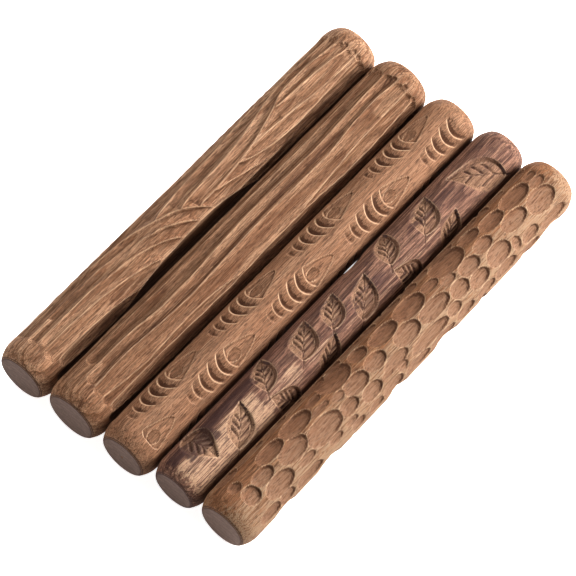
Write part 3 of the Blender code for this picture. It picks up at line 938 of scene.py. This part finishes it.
def end_grain(name, centre, wood):
    """Sawn and sanded end of a stick: greyer wood with curved growth rings and small pores."""
    material, w, shader = bare_material(name)
    place = wood_position(w, centre)
    x, _, z = w.split(place)

    def distance(down):
        return w.number("SQRT", w.plus(w.times(x, x), w.times(down, down)))

    reach = w.plus(distance(w.plus(z, PITH_BELOW)), w.times(w.noise(place, (0.25,) * 3), 3.0))
    year = w.number("FRACT", w.number("DIVIDE", reach, 2.4))
    ring = w.times(w.spread(year, 0.3, 0.95), w.spread(year, 0.95, 1.0, 1.0, 0.0))
    pores = w.spread(w.noise(place, (3.2,) * 3), 0.56, 0.66)
    cloud = w.spread(w.noise(place, (0.35,) * 3, shift=(4.0, 0.0, 2.0)), 0.35, 0.65)
    colour = w.mix(w.times(cloud, 0.5), wood.end_pale, wood.end_dark)
    colour = w.mix(w.times(ring, 0.45), colour, wood.end_dark)
    colour = w.mix(w.times(pores, 0.45), colour, wood.streak)
    out = distance(z)
    # Painted shade along the rounded rim of the end face.
    rim = w.spread(out, wood.end_radius - 1.1, wood.end_radius - 0.1, 0.0, 0.65)
    colour = w.mix(rim, colour, wood.streak)
    # Painted shade in the lathe centre pit.
    pit = w.spread(out, 0.25, 0.75, 0.8 * wood.centre_pit, 0.0)
    colour = w.mix(pit, colour, wood.streak)
    w.join(colour, shader.inputs["Base Color"])
    w.join(w.spread(pores, 0.0, 1.0, 0.55, 0.7), shader.inputs["Roughness"])
    bump(w, shader, w.number("SUBTRACT", 1.0, pores), 0.1 * MM, 0.4)
    return material


# ---------------------------------------------------------------- sizes and colours


def colour_setting(name, description, default):
    return bpy.props.FloatVectorProperty(name=name, description=description, default=default, size=3,
                                         subtype="COLOR", min=0.0, max=1.0)


def number_setting(name, description, default, **kind):
    return bpy.props.FloatProperty(name=name, description=description, default=default, **kind)


def share_setting(name, description, default, high=1.0):
    return number_setting(name, description, default, min=0.0, max=high, subtype="FACTOR")


class WoodSettings(bpy.types.PropertyGroup):
    """Colours and figure of one stick's wood"""

    pale: colour_setting("Pale wood", "Lightest wood of the side", (0.60, 0.40, 0.265))
    middle: colour_setting("Middle wood", "Wood of the broader bands", (0.44, 0.245, 0.143))
    dark: colour_setting("Dark wood", "Late growth and fibre lines", (0.175, 0.077, 0.036))
    streak: colour_setting("Streak", "Darkest growth lines and pores", (0.075, 0.03, 0.016))
    sapwood: colour_setting("Sapwood", "Pale wood from the outside of the tree", (0.60, 0.40, 0.26))
    fresh_cut: colour_setting("Fresh cut", "Wood laid bare by the carving", (0.45, 0.26, 0.15))
    end_pale: colour_setting("End grain", "Sanded end of the stick", (0.27, 0.188, 0.158))
    end_dark: colour_setting("End rings", "Growth rings on the end", (0.18, 0.122, 0.098))
    ring_lean: number_setting("Ring lean", "Slope of the growth rings across", 0.3)
    ring_spacing: number_setting("Ring spacing", "Growth of one year, in mm", 2.4, min=0.2)
    ring_strength: share_setting("Rings", "How dark the growth rings are", 0.6)
    band_strength: share_setting("Bands", "How strong the broad bands are", 0.6)
    fibre_strength: share_setting("Fibre", "How dark the fine fibre is", 0.55)
    # Strength of the dark grain mask, which also carries painted shade.
    streak_strength: share_setting("Streaks", "How dark the marked streaks are", 0.8)
    fresh_strength: share_setting("Fresh cut amount", "How much the cut wood differs", 0.5)
    # Strengths and width of the painted highlight on crests and of the painted shade in grooves and hollows.
    crest_strength: share_setting("Crest highlight", "How light the painted ridge highlight is", 0.42)
    crest_reach: number_setting("Crest reach", "How wide the painted ridge highlight is, in mm", 0.5, min=0.1)
    groove_strength: share_setting("Groove shade", "How dark the bottoms of cuts are", 0.6)
    hollow_strength: share_setting("Hollow shade", "How much darker the deep cuts are", 0.35)
    pores: share_setting("Pores", "How dark the pores are", 0.5)
    end_radius: number_setting("End radius", "Radius of the end face, in mm", 10.0)
    centre_pit: share_setting("Centre pit", "Mark of the lathe centre on the near end", 0.0)


class RollerSettings(bpy.types.PropertyGroup):
    """Sizes shared by the five rollers"""

    columns: bpy.props.IntProperty(name="Columns", description="Points round each stick",
                                   default=192, min=24, max=196)
    rows: bpy.props.IntProperty(name="Rows", description="Points along each stick's carved side",
                                default=466, min=40, max=470)
    depth: share_setting("Carving depth", "Depth of every pattern, 1 as designed", 1.0, 1.2)


class StageSettings(bpy.types.PropertyGroup):
    """Floor, lights and camera"""

    floor: colour_setting("Floor", "Colour of the floor", (0.93, 0.93, 0.93))
    floor_glow: number_setting("Floor glow", "Light given off by the floor", 0.22, min=0.0)
    floor_whitening: number_setting("Floor whitening", "Extra light the camera sees from the floor", 0.65,
                                    min=0.0)
    floor_size: number_setting("Floor size", "Side of the floor", 6.0, unit="LENGTH")
    sky: number_setting("Sky", "Strength of the even light", 0.12, min=0.0)
    key: number_setting("Key light", "Power of the large soft light", 30.5, unit="POWER")
    overhead: number_setting("Overhead light", "Power of the light from above", 12.5, unit="POWER")
    front: number_setting("Front light", "Power of the light on the near ends", 3.2, unit="POWER")
    contrast: number_setting("Gamma", "Display gamma, lower for deeper shadows", 0.76, min=0.5, max=1.5)
    lens: number_setting("Lens", "Focal length", 220.6, unit="CAMERA")
    distance: number_setting("Distance", "Camera to the rollers", 1.381, unit="LENGTH")


# ---------------------------------------------------------------- pieces

PLAIN_RADIUS = {"wave_roller": 12.5, "flute_roller": 13.2, "ripple_roller": 12.1, "leaf_roller": 11.3,
                "dimple_roller": 12.2}


def build_roller(context, name, pattern, streaks, outer_wood, bared, **wood_values):
    """Turn, carve, finish and hang one roller in place of its CAD stick."""
    sizes = context.scene.roller_sizes
    low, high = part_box(name)
    radius = PLAIN_RADIUS[name]
    centre = ((low.x + high.x) / 2, (low.y + high.y) / 2, radius * MM)
    wood = getattr(context.scene, name.replace("_roller", "_wood"))
    wood.end_radius = radius - SHOULDER_DROP
    for setting, value in wood_values.items():
        setattr(wood, setting, value)
    mesh = blank_stick(sizes.columns, sizes.rows).copy()
    mesh.name = name + "_carved"
    size_stick(mesh, radius, PIT_DEPTH * wood.centre_pit)
    place, angle, on_side = carve_stick(mesh, radius, pattern, sizes.depth, wood.crest_reach)
    # The streaks mask holds dark grain together with painted shade.
    add_mask(mesh, "dark_grain", streaks(place, angle, radius))
    add_mask(mesh, "sapwood", outer_wood(place, angle, radius))
    add_mask(mesh, "fresh_cut", bared(place, angle, radius) * on_side)
    mesh.transform(Matrix.Translation(centre))
    mesh.shade_smooth()
    mesh.materials.append(carved_walnut(name.replace("_roller", "_walnut_side"), centre, wood))
    mesh.materials.append(end_grain(name.replace("_roller", "_walnut_end"), centre, wood))
    facing = np.zeros(len(mesh.polygons) * 3)
    mesh.polygons.foreach_get("normal", facing)
    on_end = np.abs(facing[1::3]) > 0.9
    mesh.polygons.foreach_set("material_index", on_end.astype(np.int32))
    if len(mesh.polygons) == 0:
        raise RuntimeError(name + " came out empty")
    piece = bpy.data.objects.new(name + "_carved", mesh)
    context.scene.collection.objects.link(piece)
    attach(piece, name)
    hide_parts(name)
    return {"FINISHED"}


class BuildWaveRoller(bpy.types.Operator):
    """Roller with long hollows that sweep round it in waves"""

    bl_idname = "rollers.wave"
    bl_label = "Wave roller"

    def execute(self, context):
        return build_roller(context, "wave_roller", carve_waves, no_mask, no_mask, no_mask)


class BuildFluteRoller(bpy.types.Operator):
    """Roller with nearly straight hollows along it"""

    bl_idname = "rollers.flute"
    bl_label = "Flute roller"

    def execute(self, context):
        return build_roller(context, "flute_roller", carve_flutes, flute_streak_and_valley_shade, no_mask, no_mask,
                            pale=(0.51, 0.33, 0.212), middle=(0.36, 0.195, 0.112))


class BuildRippleRoller(bpy.types.Operator):
    """Roller with rows of crescent steps and thumb marks"""

    bl_idname = "rollers.ripple"
    bl_label = "Ripple roller"

    def execute(self, context):
        return build_roller(context, "ripple_roller", carve_ripples, ripple_painted_shade, no_mask, no_mask,
                            pale=(0.40, 0.245, 0.155), middle=(0.35, 0.175, 0.095), dark=(0.2, 0.09, 0.045),
                            ring_strength=0.2, band_strength=0.3, fibre_strength=0.35, centre_pit=1.0,
                            crest_strength=0.58, crest_reach=0.7, groove_strength=0.75, hollow_strength=0.3)


class BuildLeafRoller(bpy.types.Operator):
    """Roller with sunk leaves"""

    bl_idname = "rollers.leaf"
    bl_label = "Leaf roller"

    def execute(self, context):
        return build_roller(context, "leaf_roller", carve_leaves, leaf_heartwood_and_vein_shade, leaf_sapwood, leaf_fresh_cut_and_light,
                            pale=(0.46, 0.275, 0.19), middle=(0.285, 0.155, 0.11), dark=(0.10, 0.048, 0.036),
                            streak=(0.07, 0.034, 0.034), fresh_cut=(0.47, 0.30, 0.19), fresh_strength=0.85,
                            sapwood=(0.56, 0.385, 0.265), ring_spacing=1.5, band_strength=0.9,
                            hollow_strength=0.15)


class BuildDimpleRoller(bpy.types.Operator):
    """Roller covered in gouge scoops"""

    bl_idname = "rollers.dimple"
    bl_label = "Dimple roller"

    def execute(self, context):
        return build_roller(context, "dimple_roller", carve_dimples, dimple_far_wall_shade, dimple_sapwood,
                            dimple_fresh_cut, pale=(0.42, 0.235, 0.13), middle=(0.33, 0.165, 0.085),
                            sapwood=(0.38, 0.262, 0.172), fresh_cut=(0.32, 0.185, 0.12),
                            streak=(0.10, 0.045, 0.025), streak_strength=0.75, crest_strength=0.5,
                            fresh_strength=0.6, ring_strength=0.35, band_strength=0.75,
                            hollow_strength=0.15)


# Where each light stands and how wide it is, in metres.
LAMPS = {"key": ((0.82, 0.80, 0.53), 0.45), "overhead": ((-0.54, 0.30, 1.02), 0.8),
         "front": ((-0.25, -1.2, 0.3), 0.5)}
SKY_COLOUR = (1.0, 0.93, 0.84, 1.0)
# The camera's turn, rise and roll in degrees, and the point it looks at.
CAMERA_ANGLES = (39.0, 60.11, 1.43)
CAMERA_AIM = (-0.0022, 0.0013, 0.0)


class SetStage(bpy.types.Operator):
    """Pale floor, soft studio light and the camera"""

    bl_idname = "rollers.stage"
    bl_label = "Stage"

    def execute(self, context):
        stage = context.scene.roller_stage
        self.make_floor(context, stage)
        self.make_lights(context, stage)
        self.make_camera(context, stage)
        context.scene.view_settings.view_transform = "Standard"
        context.scene.view_settings.gamma = stage.contrast
        return {"FINISHED"}

    def make_floor(self, context, stage):
        bm = bmesh.new()
        bmesh.ops.create_grid(bm, x_segments=4, y_segments=4, size=stage.floor_size / 2)
        mesh = bpy.data.meshes.new("floor")
        bm.to_mesh(mesh)
        bm.free()
        material, w, shader = bare_material("floor_white")
        place = w.tree.nodes.new("ShaderNodeTexCoord").outputs["Object"]
        cloud = w.spread(w.noise(place, (3.0,) * 3), 0.3, 0.7, 0.0, 1.0)
        tint = w.mix(cloud, stage.floor, [0.99 * c for c in stage.floor])
        w.join(tint, shader.inputs["Base Color"])
        shader.inputs["Roughness"].default_value = 0.9
        shader.inputs["Emission Color"].default_value = (1.0, 1.0, 1.0, 1.0)
        seen = w.tree.nodes.new("ShaderNodeLightPath").outputs["Is Camera Ray"]
        glow = w.spread(seen, 0.0, 1.0, stage.floor_glow, stage.floor_glow + stage.floor_whitening)
        w.join(glow, shader.inputs["Emission Strength"])
        mesh.materials.append(material)
        floor = bpy.data.objects.new("floor", mesh)
        context.scene.collection.objects.link(floor)

    def make_lights(self, context, stage):
        world = bpy.data.worlds.new("studio")
        world.use_nodes = True
        sky = world.node_tree.nodes["Background"]
        sky.inputs["Color"].default_value = SKY_COLOUR
        sky.inputs["Strength"].default_value = stage.sky
        context.scene.world = world
        for name, (spot, size) in LAMPS.items():
            self.area_light(context, name, spot, size, getattr(stage, name))

    def area_light(self, context, name, spot, size, power):
        light = bpy.data.lights.new(name, "AREA")
        light.size = size
        light.energy = power
        lamp = bpy.data.objects.new(name, light)
        lamp.location = spot
        lamp.rotation_euler = (-Vector(spot)).to_track_quat("-Z", "Y").to_euler()
        context.scene.collection.objects.link(lamp)

    def make_camera(self, context, stage):
        turn, rise, roll = (math.radians(a) for a in CAMERA_ANGLES)
        back = Vector((math.sin(turn) * math.cos(rise), -math.cos(turn) * math.cos(rise), math.sin(rise)))
        right = (-back).cross(Vector((0.0, 0.0, 1.0))).normalized()
        up = right.cross(-back)
        across = math.cos(roll) * right + math.sin(roll) * up
        upright = math.cos(roll) * up - math.sin(roll) * right
        data = bpy.data.cameras.new("camera")
        data.sensor_fit = "HORIZONTAL"
        data.sensor_width = 36.0
        data.lens = stage.lens
        data.clip_start = 0.05
        data.clip_end = 20.0
        camera = bpy.data.objects.new("camera", data)
        turned = Matrix((across, upright, back)).transposed().to_4x4()
        camera.matrix_world = Matrix.Translation(Vector(CAMERA_AIM) + back * stage.distance) @ turned
        context.scene.collection.objects.link(camera)
        context.scene.camera = camera


OPERATORS = (BuildWaveRoller, BuildFluteRoller, BuildRippleRoller, BuildLeafRoller, BuildDimpleRoller,
             SetStage)


class RollerPanel(bpy.types.Panel):
    """Sizes, colours and buttons for the rollers"""

    bl_idname = "VIEW3D_PT_clay_rollers"
    bl_label = "Clay Texture Rollers"
    bl_space_type = "VIEW_3D"
    bl_region_type = "UI"
    bl_category = "Rollers"

    def draw(self, context):
        scene = context.scene
        for settings in (scene.roller_sizes, scene.roller_stage):
            for name in settings.__annotations__:
                self.layout.prop(settings, name)
        for kind in OPERATORS:
            self.layout.operator(kind.bl_idname)


CLASSES = (WoodSettings, RollerSettings, StageSettings) + OPERATORS + (RollerPanel,)
WOODS = [name.replace("_roller", "_wood") for name in PLAIN_RADIUS]


def register():
    for kind in CLASSES:
        bpy.utils.register_class(kind)
    scene = bpy.types.Scene
    scene.roller_sizes = bpy.props.PointerProperty(type=RollerSettings)
    scene.roller_stage = bpy.props.PointerProperty(type=StageSettings)
    for wood in WOODS:
        setattr(scene, wood, bpy.props.PointerProperty(type=WoodSettings))


def unregister():
    scene = bpy.types.Scene
    for name in ["roller_sizes", "roller_stage"] + WOODS:
        delattr(scene, name)
    for kind in reversed(CLASSES):
        bpy.utils.unregister_class(kind)


def main():
    register()
    bpy.ops.rollers.wave()
    bpy.ops.rollers.flute()
    bpy.ops.rollers.ripple()
    bpy.ops.rollers.leaf()
    bpy.ops.rollers.dimple()
    bpy.ops.rollers.stage()


if __name__ == "__main__":
    main()
